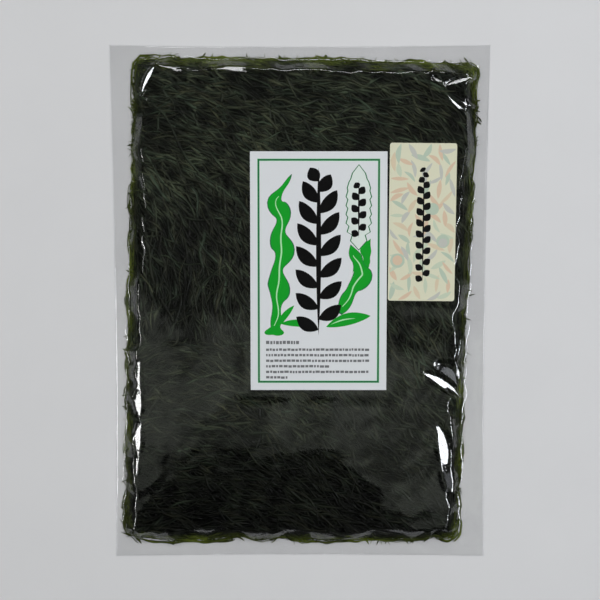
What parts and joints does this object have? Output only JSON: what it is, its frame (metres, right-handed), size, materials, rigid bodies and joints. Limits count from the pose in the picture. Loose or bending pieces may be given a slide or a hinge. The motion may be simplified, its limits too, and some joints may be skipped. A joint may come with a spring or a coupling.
{
  "type": "bagged dried kelp sheet",
  "caption": "Flat mat of dried, finely shredded kelp sealed in a clear film bag, with a paper front label and a narrow patterned side label.",
  "frame": {"origin": "middle of the underside, on the surface that the pack lies on", "axes": "+X to the right and +Y up the front as it is read, along the bag's length, +Z out of the labelled front"},
  "size_m": [0.222, 0.304, 0.0077],
  "materials": {
    "kelp": "dried kelp strands: greenish black and satin, turning translucent olive green where they lie thin at the mat's edge",
    "film": "clear, colourless, glossy packing film with sharp reflections at its folds",
    "front_paper": "coated white paper, satin, printed with a green border, green blades and black leafy fronds",
    "side_paper": "uncoated cream paper, matt, printed with faint scattered leaves and dots and a small black frond"
  },
  "bodies": {
    "root": {"filled_bag": "kelp", "front_label": "front_paper", "side_label": "side_paper"}
  },
  "joints": []
}
